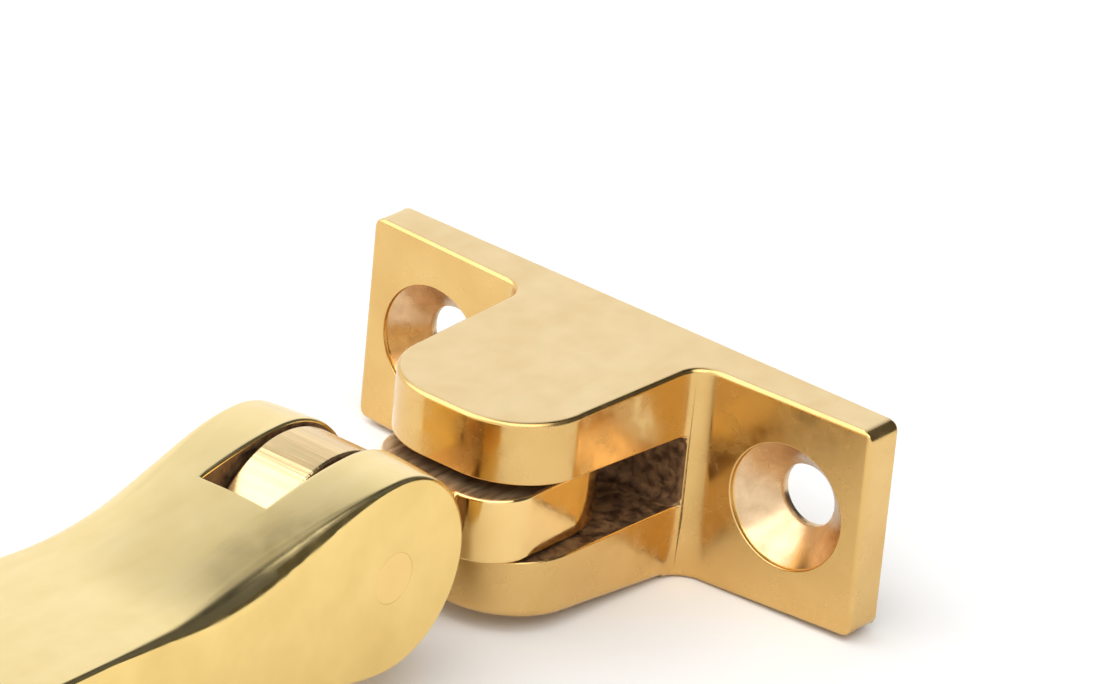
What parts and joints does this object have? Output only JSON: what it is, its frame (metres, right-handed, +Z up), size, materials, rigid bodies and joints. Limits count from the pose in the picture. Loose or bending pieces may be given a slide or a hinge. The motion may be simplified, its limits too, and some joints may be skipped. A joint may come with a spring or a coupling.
{
  "type": "casement stay",
  "caption": "Cast brass casement stay with a clevis bracket, a cross-axis knuckle and a forked arm with peg holes, to hold a hinged window open.",
  "frame": {"origin": "centre of the bracket plate's back face, midway between the screw holes", "axes": "+Y into the window sash, the arm runs towards -Y at rest; +X along the plate; +Z up"},
  "size_m": [0.0422, 0.2163, 0.0171],
  "materials": {
    "bracket_brass": "mirror polished",
    "knuckle_brass": "polished edges, sawn top",
    "pin_brass": "filed flush and polished",
    "arm_brass": "satin polished"
  },
  "bodies": {
    "bracket": {"bracket": "bracket_brass", "bracket_pin": "pin_brass"},
    "knuckle": {"knuckle": "knuckle_brass"},
    "arm": {"arm": "arm_brass", "arm_pin": "pin_brass"}
  },
  "joints": [
    {"name": "knuckle_swing", "type": "hinge", "parent": "bracket", "child": "knuckle", "pos_m": [0, -0.0133, 0], "axis": [0, 0, 1], "range_deg": [-90, 90]},
    {"name": "arm_lift", "type": "hinge", "parent": "knuckle", "child": "arm", "pos_m": [0, -0.0331, 0.0021], "axis": [-1, 0, 0], "range_deg": [0, 90]}
  ]
}
